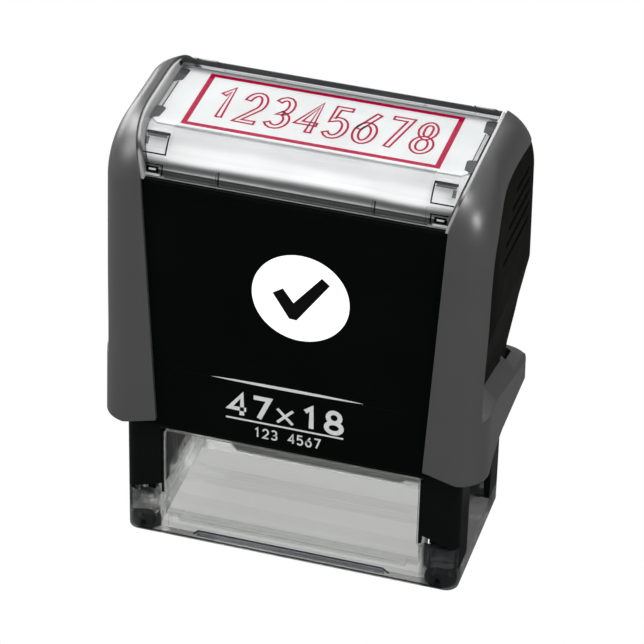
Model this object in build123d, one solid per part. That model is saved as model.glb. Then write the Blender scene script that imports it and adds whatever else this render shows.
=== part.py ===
from build123d import *
import math
import os

# Self-inking stamp at rest, in millimetres. +Z is up and the base stands on
# z = 0. The origin is the centre of the footprint and the front faces -Y.
# "half_x" and "half_y" are half widths and half depths about the origin.

os.makedirs("parts", exist_ok=True)

# ---- driving dimensions -----------------------------------------------------
stroke = 22.0                 # travel of the housing when the stamp is pressed

# fixed base and inner frame
base_half_x, base_half_y, base_corner = 30.5, 15.4, 2.3
window_half_x, window_top = 23.3, 23.2
leg_inner_x = 23.9
leg_bottom = 8.9              # underside of the leg webs
frame_top = 50.4
frame_skin = 1.5              # thickness of the outer plates of the frame
shelf_top = 33.2              # shelves under the pad tray
deck_bottom, deck_top = 42.0, 44.0
plug_x, plug_y = 27.2, 12.7   # centres of the foot plugs
plug_radius, plug_height = 1.3, 1.7

# cam walls of the frame, clear below the split and black above
wall_inner, wall_outer, wall_half_y = 25.2, 27.6, 8.2
wall_split = 6.5

# die
axle_z = 28.0
axle_radius = 1.5
face_height = 6.0             # axle centre to the printing face
face_z = axle_z + face_height
die_half_x = 24.5
rubber_half_x, rubber_half_y = 23.5, 9.0
carrier_top = face_z - 2.4
cushion_top = carrier_top + 1.0
follower_y = 4.5              # follower pin offset from the axle
follower_radius = 1.0

pad_face_z = face_z + 0.45    # underside of the ink pad

# sliding housing
cavity_half_x, cavity_half_y = 30.7, 15.6
shell_half_x, shell_half_y, shell_corner = 31.5, 16.7, 3.2
shell_bottom = 24.9
panel_top = 75.5
ceiling = 78.0
top_box_half_x, top_box_half_y = 30.2, 13.2   # raised box under the index card
top_box_top = ceiling + 1.4

# outer skin: tapered sides up to roll_z, then elliptical shoulders that pull
# in by roll_x and roll_y at the top
skin_bottom, skin_top = 24.7, 84.0
skin_low = (34.65, 17.55, 5.4)      # half width, half depth, corner radius
skin_mid = (34.2, 17.5, 6.6)
roll_z, roll_x, roll_y = 73.0, 4.4, 7.0

# inner edge of the side frames in front view, (x, z), leaning out upwards
rim_line = [(24.1, 26.45), (26.6, 76.0), (28.0, 80.5), (28.75, 82.6), (29.2, 84.0)]

# return springs
spring_x = 13.0
spring_radius, spring_wire_radius, spring_turns = 3.6, 0.45, 8
spigot_radius, spigot_length = 2.7, 4.6

# index cover, holder and card
cover_top, cover_bottom = 83.5, panel_top + 0.05
cover_wall = 1.15
nose_radius, nose_y = 7.7, 8.3      # rolled edge and the y of its centre
cover_half_y = nose_y + nose_radius
card_z, card_thickness = 81.95, 0.25

badge_x, badge_z, badge_radius = 1.55, 57.1, 8.6
badge_recess = 0.45

SIDES = (1, -1)
CORNERS = [(side_x, side_y) for side_x in SIDES for side_y in SIDES]
ALIGN_BASE = (Align.CENTER, Align.CENTER, Align.MIN)


# ---- helpers ----------------------------------------------------------------
def box(x0, x1, y0, y1, z0, z1):
    """Box between two corners; each pair of x and y may come in either order."""
    x0, x1 = sorted((x0, x1))
    y0, y1 = sorted((y0, y1))
    centre = Pos((x0 + x1) / 2, (y0 + y1) / 2, (z0 + z1) / 2)
    return centre * Box(x1 - x0, y1 - y0, z1 - z0)


def cyl_x(x0, x1, y, z, radius):
    x0, x1 = sorted((x0, x1))
    return Pos(x0, y, z) * Rot(0, 90, 0) * Cylinder(radius, x1 - x0, align=ALIGN_BASE)


def cyl_y(y0, y1, x, z, radius):
    return Pos(x, y0, z) * Rot(-90, 0, 0) * Cylinder(radius, y1 - y0, align=ALIGN_BASE)


def cyl_z(x, y, z0, z1, radius):
    return Pos(x, y, z0) * Cylinder(radius, z1 - z0, align=ALIGN_BASE)


def polygon(points):
    return make_face(Polyline(*points, close=True))


def prism_x(points, x0, x1):
    """Extrude a (y, z) outline along X."""
    x0, x1 = sorted((x0, x1))
    return extrude(Plane.YZ.offset(x0) * polygon(points), x1 - x0)


def prism_y(points, y0, y1):
    """Extrude an (x, z) outline along Y."""
    y0, y1 = sorted((y0, y1))
    return extrude(Plane.XZ.offset(-y0) * polygon(points), -(y1 - y0))


def mirrored(side, points):
    """Flip the x of an (x, z) outline for the left side."""
    return [(side * x, z) for x, z in points]


def section(z, half_x, half_y, radius):
    return Pos(0, 0, z) * RectangleRounded(2 * half_x, 2 * half_y, radius)


def rounded(half_x, half_y, radius, z0, z1):
    return extrude(section(z0, half_x, half_y, radius), z1 - z0)


def both(make):
    return make(1) + make(-1)


def largest(shape):
    return max(shape.solids(), key=lambda solid: solid.volume)


def save(name, shape):
    solids = shape.solids()
    piece = solids[0] if len(solids) == 1 else Compound(children=list(solids))
    piece.label = name
    export_step(piece, "parts/" + name + ".step")


def rolled_bar(half_y, top, radius, bottom, x0, x1):
    """Bar along X with vertical front and back, rolled over into a flat top."""
    shoulder = top - radius
    wire = Wire([
        Line((-half_y, bottom), (-half_y, shoulder)),
        RadiusArc((-half_y, shoulder), (-half_y + radius, top), radius),
        Line((-half_y + radius, top), (half_y - radius, top)),
        RadiusArc((half_y - radius, top), (half_y, shoulder), radius),
        Line((half_y, shoulder), (half_y, bottom)),
        Line((half_y, bottom), (-half_y, bottom)),
    ])
    return extrude(Plane.YZ.offset(x0) * make_face(wire), x1 - x0)


def skin_body(inset):
    """The outer form of the housing, drawn in by inset."""
    steps = 6
    corner_growth = 0.35            # added to the corner radius at each step
    half_x, half_y, radius = skin_low
    low = [section(skin_bottom, half_x - inset, half_y - inset, radius)]
    half_x, half_y, radius = skin_mid
    low.append(section(roll_z, half_x - inset, half_y - inset, radius))
    body = loft(low, ruled=True)
    shoulders = []
    for i in range(steps + 1):
        angle = math.radians(90 / steps * i)
        pull = 1 - math.cos(angle)
        shoulders.append(section(
            roll_z + (skin_top - inset - roll_z) * math.sin(angle),
            half_x - inset - roll_x * pull,
            half_y - inset - roll_y * pull,
            radius + corner_growth * i))
    return body + loft(shoulders)


def rim_prism(gap):
    """The space between the side frames, drawn in by gap on each side."""
    points = [(rim_line[0][0] - gap - 0.2, 20.0)]
    points += [(x - gap, z) for x, z in rim_line]
    points.append((rim_line[-1][0] - gap, 90.0))
    points += mirrored(-1, points[::-1])
    return prism_y(points, -25, 25)


def outside_rim(gap):
    """Tool that trims a part to the rim line, less gap."""
    return box(-40, 40, -24, 24, 20, 89) - rim_prism(gap)


# ---- cam track --------------------------------------------------------------
def cam_outline(half, steps=28):
    """(y, z) outline of a track along the path of the follower pin, which
    makes a half turn about the axle spread over the stroke."""
    path = []
    for i in range(steps + 1):
        t = i / steps
        y = follower_y * math.cos(math.pi * t)
        z = axle_z - stroke * t + follower_y * math.sin(math.pi * t)
        dy = -follower_y * math.pi * math.sin(math.pi * t)
        dz = -stroke + follower_y * math.pi * math.cos(math.pi * t)
        length = math.hypot(dy, dz)
        path.append((y, z, dy / length, dz / length))

    def cap(y, z, angle):
        angles = [angle + i * math.pi / 8 for i in range(-1, -8, -1)]
        return [(y + half * math.cos(a), z + half * math.sin(a)) for a in angles]

    left = [(y - half * dz, z + half * dy) for y, z, dy, dz in path]
    right = [(y + half * dz, z - half * dy) for y, z, dy, dz in path]
    y, z, dy, dz = path[-1]
    end = cap(y, z, math.atan2(dy, -dz))
    y, z, dy, dz = path[0]
    start = cap(y, z, math.atan2(-dy, dz))
    return left + end + right[::-1] + start


cam_points = cam_outline(follower_radius + 0.2)


def cam_cut(side):
    """Blind cam groove and straight through slot for the axle in one wall."""
    groove_depth = 1.15
    slot_half = axle_radius + 0.1
    inner = side * (wall_inner - 0.5)
    outer = side * (wall_outer + 0.5)
    groove = prism_x(cam_points, side * wall_inner, side * (wall_inner + groove_depth))
    groove = groove + prism_x(cam_points, inner, side * wall_inner)
    slot = box(inner, outer, -slot_half, slot_half, axle_z - stroke, axle_z)
    slot = slot + cyl_x(inner, outer, 0, axle_z, slot_half)
    slot = slot + cyl_x(inner, outer, 0, axle_z - stroke, slot_half)
    return groove + slot


cams = both(cam_cut)


# ---- base -------------------------------------------------------------------
def base_frame():
    """Clear foot with window walls and corner boxes."""
    rim_height = 3.6
    box_outer_x, box_height, box_wall, box_floor = 29.3, 8.7, 1.0, 1.2
    boss_height, boss_radius = 7.4, 2.2
    rail_y0, rail_y1 = 13.05, 14.2
    rail_outline = [
        (-12.0, window_top), (-10.2, window_top - 2.3), (19.6, window_top - 2.3),
        (20.6, window_top - 1.6), (window_half_x, window_top - 1.6),
        (window_half_x, window_top)]

    frame = rounded(base_half_x, base_half_y, base_corner, 0, rim_height)
    frame -= box(-24.9, 24.9, -11.9, 11.9, -1, 5)
    # shallow step along the top of the front and rear rim
    frame -= both(lambda side: box(-21.0, 21.0, side * 12.9, side * 13.9, 2.7, 5))
    for side in SIDES:
        window = box(-window_half_x, window_half_x,
                     side * (base_half_y - 1.3), side * base_half_y, 0.0, window_top)
        window = fillet(window.edges().filter_by(Axis.Y).group_by(Axis.Z)[-1], 1.0)
        frame += window
        # rail inside the top edge of the window
        rail = prism_y(rail_outline, side * rail_y0, side * rail_y1)
        rail = rail & box(-window_half_x + 0.3, window_half_x - 0.3, -20, 20,
                          0, window_top - 0.4)
        frame += rail
        # pip at the middle of the lower edge
        frame += box(-0.5, 0.5, side * (base_half_y - 0.6), side * base_half_y, 0.0, 3.0)
    # open-topped corner boxes, each with a round boss
    for side_x, side_y in CORNERS:
        corner = box(side_x * window_half_x, side_x * box_outer_x,
                     side_y * wall_half_y, side_y * base_half_y, 0.0, box_height)
        corner -= box(side_x * (window_half_x + box_wall), side_x * (box_outer_x - box_wall),
                      side_y * (wall_half_y + box_wall), side_y * (base_half_y - 1.2),
                      box_floor, 12)
        corner += box(side_x * box_outer_x, side_x * base_half_x,
                      side_y * 13.6, side_y * base_half_y, 0.0, box_height)
        corner = corner & rounded(base_half_x, base_half_y, base_corner, -1, 12)
        boss = cyl_z(side_x * plug_x, side_y * plug_y, 0.0, boss_height, boss_radius)
        frame += corner + boss
    # room for the die at the bottom of its travel
    frame -= box(-24.95, 24.95, -11.6, 11.6, -1, 20)
    # clear lower parts of the cam walls
    for side in SIDES:
        frame += box(side * wall_inner, side * wall_outer, -wall_half_y, wall_half_y,
                     0.0, wall_split)
    frame -= cams
    for side_x, side_y in CORNERS:
        frame -= cyl_z(side_x * plug_x, side_y * plug_y, -0.5, plug_height, plug_radius)
    return frame


def foot_plugs():
    """Anti-slip feet in the corner bosses."""
    plugs = []
    for side_x, side_y in CORNERS:
        plug = cyl_z(side_x * plug_x, side_y * plug_y, 0.0, plug_height, plug_radius)
        plug = fillet(plug.edges().group_by(Axis.Z)[0], 0.25)
        plugs.append(plug.solids()[0])
    return Compound(children=plugs)


# ---- inner frame ------------------------------------------------------------
def leg(side_x, side_y):
    """Front or rear plate, side plate with a skirt, and two webs."""
    foot_z = 8.8
    plate_inner_y = base_half_y - frame_skin
    plate = prism_y(
        mirrored(side_x, [(leg_inner_x, 11.1), (base_half_x + 0.5, foot_z),
                          (base_half_x + 0.5, frame_top), (leg_inner_x, frame_top)]),
        side_y * plate_inner_y, side_y * base_half_y)
    side = box(side_x * (base_half_x - frame_skin), side_x * base_half_x,
               side_y * 8.0, side_y * base_half_y, foot_z, frame_top)
    skirt = box(side_x * (base_half_x - 1.1), side_x * base_half_x,
                side_y * 8.0, side_y * 13.5, 3.7, leg_bottom)
    web_inner = box(side_x * wall_inner, side_x * (wall_inner + 1.4),
                    side_y * 7.5, side_y * (base_half_y - 1.0), leg_bottom, frame_top)
    web_outer = box(side_x * (wall_inner + 1.0), side_x * (base_half_x - 1.0),
                    side_y * 8.0, side_y * 9.4, leg_bottom, frame_top)
    return plate + side + skirt + web_inner + web_outer


def inner_frame():
    """Black skeleton: four legs, lintels, cam walls and deck."""
    lintel_x = leg_inner_x + 1
    shelf_x = leg_inner_x + 1.4
    deck_x, deck_y = wall_inner + 1, base_half_y - 1
    frame = None
    for side_x, side_y in CORNERS:
        part = leg(side_x, side_y)
        frame = part if frame is None else frame + part
    for side in SIDES:
        frame += box(side * wall_inner, side * wall_outer, -wall_half_y, wall_half_y,
                     wall_split, frame_top)
        # lintel over the window, then the upper band above the pad slot
        plate_y = side * (base_half_y - frame_skin)
        for z0, z1 in ((window_top + 0.25, shelf_top), (deck_bottom, frame_top)):
            frame += box(-lintel_x, lintel_x, plate_y, side * base_half_y, z0, z1)
        # shelf that carries the pad tray
        frame += box(-shelf_x, shelf_x, side * 12.9, side * deck_y, 32.0, shelf_top)
    frame += box(-deck_x, deck_x, -deck_y, deck_y, deck_bottom, deck_top)
    frame = frame & rounded(base_half_x, base_half_y, base_corner, 0, 60)
    # openings in the deck and a spigot for each spring
    for side in SIDES:
        frame -= box(side * 18.2, side * 23.6, -9.0, 9.0, deck_bottom - 1, deck_top + 1)
        frame += cyl_z(side * spring_x, 0, deck_bottom, deck_top + spigot_length, spigot_radius)
    frame -= box(-7.0, 7.0, -9.0, 9.0, deck_bottom - 1, deck_top + 1)
    frame -= cams
    # keep clear of the windows of the base
    frame -= both(lambda side: box(-window_half_x - 0.3, window_half_x + 0.3,
                                   side * 13.0, side * 16.0, 0, window_top + 0.05))
    return frame


# ---- ink cassette -----------------------------------------------------------
def pad_tray():
    tray = box(-24.95, 24.95, -12.6, 12.6, 35.0, 40.6)
    tray = fillet(tray.edges().filter_by(Axis.Z), 1.0)
    tray -= box(-24.3, 24.3, -10.1, 10.1, 34, 38.6)
    for side in SIDES:
        # hollow lip at the front and rear
        lip = box(-15.0, 15.0, side * 12.4, side * 15.1, 36.2, 40.0)
        outer_group = 0 if side < 0 else -1
        lip = fillet(lip.edges().filter_by(Axis.Z).group_by(Axis.Y)[outer_group], 0.9)
        lip -= box(-11.0, 11.0, side * 13.2, side * 14.4, 37.4, 41)
        tray += lip
        # rail that rides on the frame shelf
        tray += box(-22.0, 22.0, side * 12.0, side * 13.9, shelf_top + 0.1, 35.4)
    return tray


def ink_pad():
    pad = box(-24.2, 24.2, -10.0, 10.0, pad_face_z, 38.5)
    pad = fillet(pad.edges().filter_by(Axis.Z), 0.8)
    return fillet(pad.edges().group_by(Axis.Z)[0], 0.35)


# ---- return springs ---------------------------------------------------------
def spring(x):
    """Coil between the deck and the ceiling, trimmed just clear of both."""
    z0 = deck_top + spring_wire_radius
    z1 = ceiling - spring_wire_radius
    path = Helix(pitch=(z1 - z0) / spring_turns, height=z1 - z0, radius=spring_radius)
    wire = Plane(origin=path @ 0, z_dir=path % 0) * Circle(spring_wire_radius)
    coil = Pos(x, 0, z0) * sweep(wire, path=path, is_frenet=True)
    return coil & box(x - 6, x + 6, -6, 6, deck_top + 0.02, ceiling - 0.02)


# ---- shared tools of the housing --------------------------------------------
# Form inside the finger cut at the rear corners: z, half x, half y, radius
waist_stations = [
    (26.4, 31.3, 16.75, 8.0), (34.0, 31.3, 16.75, 8.0), (37.2, 31.6, 16.75, 7.4),
    (41.7, 32.2, 16.75, 6.2), (49.0, 33.3, 16.8, 4.2), (54.0, 34.0, 16.9, 3.6),
    (90.0, 35.0, 17.2, 3.2)]
waist = loft([section(*station) for station in waist_stations], ruled=True)
corner_cut = box(-40, 40, 4.0, 30, 26.4, 56.0) - waist

# Cut that draws in the rear edge strip of the side frames, (x, z)
strip_outline = [
    (29.2, 30.5), (29.3, 34.0), (29.85, 37.2), (30.7, 41.7), (32.2, 49.0),
    (33.0, 54.0), (36.0, 58.0), (40.0, 58.0), (40.0, 30.5)]
strip_cut = both(lambda side: prism_y(mirrored(side, strip_outline), 6.0, 25.0))

# Upper edge of the side grip from front to rear, (y, z)
grip_edge = [
    (-15.0, 37.3), (-14.95, 42.7), (-14.2, 54.8), (-13.7, 64.9), (-12.8, 72.0),
    (-11.2, 76.0), (-7.8, 78.4), (-2.0, 79.3), (5.0, 79.0), (13.0, 78.0), (20.0, 77.0)]
# Lower edge from rear to front, (y, z), true at x = grip_level_x
grip_lower_edge = [(20.0, 31.5), (14.0, 31.9), (-8.6, 38.1)]
grip_level_x = 34.3


def grip_face(side, x):
    """Side outline of the grip; its lower edge rises 1 mm per mm inwards."""
    lift = grip_level_x - x
    corners = [grip_edge[-1]] + [(y, z + lift) for y, z in grip_lower_edge]
    corners.append(grip_edge[0])
    lines = [Line(a, b) for a, b in zip(corners, corners[1:])]
    wire = Wire([Spline(*grip_edge)] + lines)
    return Plane.YZ.offset(side * x) * make_face(wire)


def grip_zone(side):
    return loft([grip_face(side, shell_half_x), grip_face(side, 37.0)], ruled=True)


# Space taken by the black shell inside the side frames
core = rounded(shell_half_x, shell_half_y, shell_corner, skin_bottom - 5, panel_top)
core += box(-top_box_half_x, top_box_half_x, -top_box_half_y, top_box_half_y,
            panel_top - 1, top_box_top)


def side_half(body, side, inner_x):
    return body & box(side * inner_x, side * 50, -30, 30, 0, 100)


# ---- housing ----------------------------------------------------------------
def front_groove():
    """Long shallow arched groove across the front panel."""
    steps, half_width, depth = 24, 0.16, 0.18
    arc = ThreePointArc((-21.9, 37.85), (0.0, 37.55), (20.8, 37.95))
    line = [arc @ (i / steps) for i in range(steps + 1)]
    points = [(p.X, p.Y + half_width) for p in line]
    points += [(p.X, p.Y - half_width) for p in line[::-1]]
    return prism_y(points, -shell_half_y - 1, -shell_half_y + depth)


def housing_shell():
    """Black sliding cover."""
    top_wall, box_wall = 1.3, 1.2
    shell = rounded(shell_half_x, shell_half_y, shell_corner, shell_bottom, panel_top)
    shell -= rounded(cavity_half_x, cavity_half_y, 2.5, shell_bottom - 1, panel_top - top_wall)
    # upper box that carries the index holder
    shell += box(-top_box_half_x, top_box_half_x, -top_box_half_y, top_box_half_y,
                 panel_top - top_wall, top_box_top)
    inside_x, inside_y = top_box_half_x - box_wall, top_box_half_y - box_wall
    shell -= box(-inside_x, inside_x, -inside_y, inside_y, panel_top - 2, ceiling)
    # the top edge of the front and rear panels leans in
    lean = [(shell_half_y, panel_top - 2.4), (shell_half_y - 0.25, panel_top - 0.9),
            (shell_half_y - 0.9, panel_top), (shell_half_y + 1, panel_top + 1),
            (shell_half_y + 1, panel_top - 2.4)]
    for side in SIDES:
        shell -= prism_x([(side * y, z) for y, z in lean], -40, 40)
    # spring spigots under the ceiling and bearings for the die axle
    for side in SIDES:
        shell += cyl_z(side * spring_x, 0, ceiling - spigot_length, ceiling + 0.5,
                       spigot_radius)
        shell -= cyl_x(side * (cavity_half_x - 1), side * (shell_half_x + 1), 0, axle_z,
                       axle_radius + 0.06)
    # thin liner up the inside of each side frame
    liner = skin_body(0.35) - box(-40, 40, -30, 30, 0, panel_top)
    liner = liner - box(-40, 40, -30, 30, 83.7, 90)
    liner = liner - rim_prism(0.5) - outside_rim(0.0)
    shell += box(-29.0, 29.0, -top_box_half_y, top_box_half_y,
                 ceiling, top_box_top) & rim_prism(0.0)
    shell += liner
    shell -= corner_cut
    # pocket for the round badge
    shell -= cyl_y(-shell_half_y - 1, -shell_half_y + badge_recess,
                   badge_x, badge_z, badge_radius)
    shell -= front_groove()
    return shell


def side_frame(side):
    """Grey frame on one side of the housing."""
    frame = side_half(skin_body(0.0), side, 0) - rim_prism(0.0) - core
    # the lower edge rises towards the inner rim
    lower = [(20, 20), (20, 26.6), (24.0, 26.4), (30.2, skin_bottom), (30.2, 20)]
    frame = frame - both(lambda end: prism_y(mirrored(end, lower), -25, 25))
    frame = frame - grip_zone(side)
    # the rear edge strip is drawn in above the lower band
    band = prism_x([(5.0, 34.6), (13.4, 32.6), (15.5, 31.6), (18.5, 30.9),
                    (18.5, 20), (5.0, 20)], side * 29.0, side * 40.0)
    frame = frame - (strip_cut - band)
    # the lower edge tucks in towards the rear, fully from tuck_y on
    tuck_y = -3.5
    slight = mirrored(side, [(35.2, 28.8), (35.0, 24.0), (38, 24.0), (38, 28.8)])
    full = mirrored(side, [(34.8, 28.8), (33.2, 24.0), (38, 24.0), (38, 28.8)])
    tuck = loft([Plane.XZ.offset(14.5) * polygon(slight),
                 Plane.XZ.offset(-tuck_y) * polygon(full)], ruled=True)
    frame = frame - tuck - prism_y(full, tuck_y, 25)
    return largest(side_half(frame, side, 0))


def side_grip(side):
    """Black grip that fills the side opening, with a finger hollow below."""
    profile = [   # (x, z), front view
        (shell_half_x, 31.0), (shell_half_x + 0.25, 31.0), (shell_half_x + 0.35, 38.0),
        (shell_half_x + 0.9, 45.0), (33.3, 50.5), (34.1, 54.5),
        (35.4, 60.0), (35.4, 82.0), (shell_half_x, 82.0)]
    grooves = [   # front y, rear y, z
        (-8.6, 9.2, 64.9), (-7.2, 9.2, 67.7), (-5.6, 9.2, 70.3),
        (-3.4, 9.0, 72.8), (-0.4, 8.4, 75.0)]
    groove_x, groove_depth, groove_width, groove_tilt = 34.35, 1.5, 1.1, -3.5

    grip = side_half(skin_body(0.12), side, 20)
    grip = grip & grip_zone(side) & prism_y(mirrored(side, profile), -25, 25)
    grip = grip - corner_cut - core
    # finger grooves across the upper half, rounded at both ends
    for front_y, rear_y, z in grooves:
        straight = rear_y - front_y - groove_width
        end = Rot(0, 90, 0) * Cylinder(groove_width / 2, groove_depth)
        cut = Box(groove_depth, straight, groove_width)
        cut = cut + Pos(0, -straight / 2, 0) * end + Pos(0, straight / 2, 0) * end
        place = Pos(side * groove_x, (front_y + rear_y) / 2, z) * Rot(groove_tilt, 0, 0)
        grip = grip - place * cut
    return largest(grip)


def badge_disc():
    """Round badge, slightly proud of the front panel."""
    disc = cyl_y(-shell_half_y - 0.12, -shell_half_y + badge_recess,
                 badge_x, badge_z, badge_radius)
    return fillet(disc.edges().group_by(Axis.Y)[0], 0.1)


# ---- index holder, card and cover -------------------------------------------
def card_holder():
    holder = rolled_bar(cover_half_y - cover_wall - 0.2, card_z,
                        nose_radius - cover_wall - 0.25, 70, -30, 30)
    holder -= box(-40, 40, -24, 24, 60, 89) - rim_prism(0.85)
    holder -= box(-40, 40, -top_box_half_y, top_box_half_y, 70, top_box_top)
    holder -= box(-40, 40, -30, 30, 70, panel_top + 0.9)
    return holder


def index_card():
    card = box(-27.3, 27.3, -9.3, 9.3, card_z, card_z + card_thickness)
    return chamfer(card.edges().filter_by(Axis.Z), 0.9)


def on_nose(x, side_y, degrees, radius):
    """Place on the rolled edge, at an angle above horizontal, Z outwards."""
    angle = math.radians(degrees)
    y = side_y * (nose_y + radius * math.cos(angle))
    z = cover_top - nose_radius + radius * math.sin(angle)
    return Pos(x, y, z) * Rot(side_y * -(90 - degrees), 0, 0)


def index_cover():
    """Clear cover, rolled over at the front and rear."""
    cover = rolled_bar(cover_half_y, cover_top, nose_radius, cover_bottom, -30, 30)
    cover -= rolled_bar(cover_half_y - cover_wall, card_z + card_thickness + 0.12,
                        nose_radius - cover_wall, 70, -40, 40)
    for side_x, side_y in CORNERS:
        # square seat high on the nose
        cover -= on_nose(side_x * 24.6, side_y, 52, nose_radius + 0.1) * Box(4.4, 3.6, 1.0)
        # block with a small recess low on the nose
        place = on_nose(side_x * 24.5, side_y, 14, nose_radius - 0.3)
        cover += place * Box(4.2, 3.0, 1.8) & box(-30, 30, -20, 20, cover_bottom, 90)
        cover -= place * Pos(0, 0, 0.9) * Box(2.2, 1.2, 0.8)
        # narrow upright rib
        rib = Pos(side_x * 13.5, side_y * (cover_half_y - 0.2), 77.0) * Box(0.5, 0.9, 3.4)
        cover += rib & box(-40, 40, -16.6, 16.6, cover_bottom, 90)
    cover -= box(-40, 40, -24, 24, 60, 89) - rim_prism(0.7)
    return cover


# ---- die, printing face up at rest ------------------------------------------
cheek_inner = die_half_x - 2.2
follower_inner = die_half_x - 1.6


def die_carrier():
    carrier = box(-die_half_x, die_half_x, -9.4, 9.4, carrier_top - 2.0, carrier_top)
    carrier = fillet(carrier.edges().filter_by(Axis.Z), 0.8)
    for side in SIDES:
        # long lip under the front and rear edges
        carrier += box(-die_half_x, die_half_x, side * 8.0, side * 9.4,
                       carrier_top - 3.6, carrier_top - 1.9)
        # end cheek with bosses for the axle and follower pins
        inner, outer = side * cheek_inner, side * die_half_x
        cheek = box(inner, outer, -6.4, 6.4, axle_z - 1.0, carrier_top - 1.0)
        cheek += cyl_x(inner, outer, 0, axle_z, 3.0)
        cheek += cyl_x(inner, outer, follower_y, axle_z, 1.9)
        carrier += cheek
    # cross ribs
    for x in (-14, -4.7, 4.7, 14):
        carrier += box(x - 0.6, x + 0.6, -8.2, 8.2, carrier_top - 3.4, carrier_top - 1.9)
    outer = die_half_x + 1
    carrier -= both(lambda side: cyl_x(side * (die_half_x - 3), side * outer,
                                       0, axle_z, axle_radius))
    carrier -= both(lambda side: cyl_x(side * follower_inner, side * outer,
                                       follower_y, axle_z, follower_radius))
    return carrier


def pin_pair(inner, outer, y, radius, bevel):
    """A pin at each end of the die, bevelled at its outer end."""
    pins = []
    for side in SIDES:
        pin = cyl_x(side * inner, side * outer, y, axle_z, radius)
        outer_group = -1 if side > 0 else 0
        pin = chamfer(pin.edges().group_by(Axis.X)[outer_group], bevel)
        pins.append(pin.solids()[0])
    return Compound(children=pins)


def cushion():
    return box(-rubber_half_x, rubber_half_x, -rubber_half_y, rubber_half_y,
               carrier_top, cushion_top)


# Bars of a seven-segment digit: a top, g middle, d bottom, f and b upper,
# e and c lower
DIGIT_BARS = {"1": "bc", "2": "abged", "3": "abgcd", "4": "fgbc", "5": "afgcd",
              "6": "afgedc", "7": "abc", "8": "abcdefg"}
digit_width, digit_height, digit_stroke = 3.3, 8.6, 0.75
digit_pitch, first_digit_x = 5.0, 17.5
relief_z = face_z - 0.7       # foot of the raised border and digits


def digit(character, centre_x):
    """Raised digit, mirrored left to right as a printing face must be."""
    half_x, half_y, bar = digit_width / 2, digit_height / 2, digit_stroke
    bars = {   # x0, x1, y0, y1 before mirroring
        "a": (-half_x, half_x, half_y - bar, half_y),
        "d": (-half_x, half_x, -half_y, -half_y + bar),
        "g": (-half_x, half_x, -bar / 2, bar / 2),
        "f": (-half_x, -half_x + bar, 0, half_y),
        "b": (half_x - bar, half_x, 0, half_y),
        "e": (-half_x, -half_x + bar, -half_y, 0),
        "c": (half_x - bar, half_x, -half_y, 0)}
    raised = None
    for key in DIGIT_BARS[character]:
        x0, x1, y0, y1 = bars[key]
        piece = box(centre_x - x1, centre_x - x0, y0, y1, relief_z, face_z)
        raised = piece if raised is None else raised + piece
    return raised


def text_plate():
    """Rubber plate with a raised border and eight digits."""
    plate = box(-rubber_half_x, rubber_half_x, -rubber_half_y, rubber_half_y,
                cushion_top, face_z - 0.6)
    border = box(-22.5, 22.5, -8.5, 8.5, relief_z, face_z)
    plate += border - box(-21.7, 21.7, -7.7, 7.7, face_z - 1, face_z + 1)
    for i, character in enumerate("12345678"):
        plate += digit(character, first_digit_x - digit_pitch * i)
    return plate


# ---- write the parts --------------------------------------------------------
for make in (base_frame, foot_plugs, inner_frame, pad_tray, ink_pad, housing_shell,
             badge_disc, card_holder, index_card, index_cover, die_carrier, cushion,
             text_plate):
    save(make.__name__, make())
for name, side in (("right", 1), ("left", -1)):
    save("spring_" + name, spring(side * spring_x))
    save("side_frame_" + name, side_frame(side))
    save("side_grip_" + name, side_grip(side))
save("axle_pins", pin_pair(cheek_inner, shell_half_x - 0.1, 0, axle_radius, 0.25))
save("follower_pins", pin_pair(follower_inner, wall_inner + 0.95, follower_y,
                               follower_radius, 0.2))
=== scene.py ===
# Self-inking text stamp, standing upright on its clear base at z = 0. X runs along the
# printed text (left is -X), the front faces -Y, +Z is up.
import itertools
import math

import bmesh
import bpy
from mathutils import Matrix, Vector


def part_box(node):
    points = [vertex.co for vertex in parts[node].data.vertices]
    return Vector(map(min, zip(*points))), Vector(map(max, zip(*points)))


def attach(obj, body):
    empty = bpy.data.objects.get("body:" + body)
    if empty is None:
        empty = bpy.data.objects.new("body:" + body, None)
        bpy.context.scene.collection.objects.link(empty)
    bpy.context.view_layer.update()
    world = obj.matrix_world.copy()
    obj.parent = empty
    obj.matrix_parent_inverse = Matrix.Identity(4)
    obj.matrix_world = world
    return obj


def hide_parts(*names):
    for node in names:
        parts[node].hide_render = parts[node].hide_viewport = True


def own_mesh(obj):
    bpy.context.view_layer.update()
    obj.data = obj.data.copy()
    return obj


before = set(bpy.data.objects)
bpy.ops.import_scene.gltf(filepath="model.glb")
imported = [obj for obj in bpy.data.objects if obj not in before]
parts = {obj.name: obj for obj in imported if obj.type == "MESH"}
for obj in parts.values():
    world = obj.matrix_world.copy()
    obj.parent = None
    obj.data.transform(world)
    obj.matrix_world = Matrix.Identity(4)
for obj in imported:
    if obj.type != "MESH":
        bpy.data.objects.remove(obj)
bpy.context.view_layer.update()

MM = 0.001
SIDES = ((-1, "left"), (1, "right"))    # sign along X
FACES = ((-1, "front"), (1, "rear"))    # sign along Y

scene = bpy.context.scene


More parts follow.
